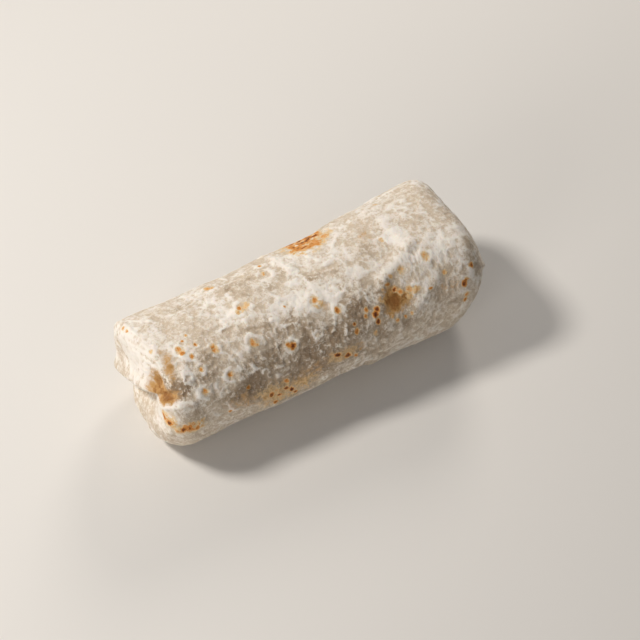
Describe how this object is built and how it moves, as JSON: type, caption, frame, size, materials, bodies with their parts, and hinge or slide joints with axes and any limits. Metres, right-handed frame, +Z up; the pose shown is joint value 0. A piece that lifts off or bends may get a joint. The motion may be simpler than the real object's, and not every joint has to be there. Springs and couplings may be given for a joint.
{
  "type": "burrito",
  "caption": "Whole rolled burrito: a floury wheat tortilla closed round its filling, folded shut at both ends and lying on its side.",
  "frame": {"origin": "middle of the footprint, on the surface that the burrito lies on", "axes": "+X along the roll towards its wider end, -Y towards its shown front side, +Z up"},
  "size_m": [0.1872, 0.0774, 0.0676],
  "materials": {
    "tortilla": "dry floury baked wheat sheet, matt with a faint sheen where it is moist, golden and brown blisters"
  },
  "bodies": {
    "root": {"rolled_tortilla": "tortilla"}
  },
  "joints": []
}
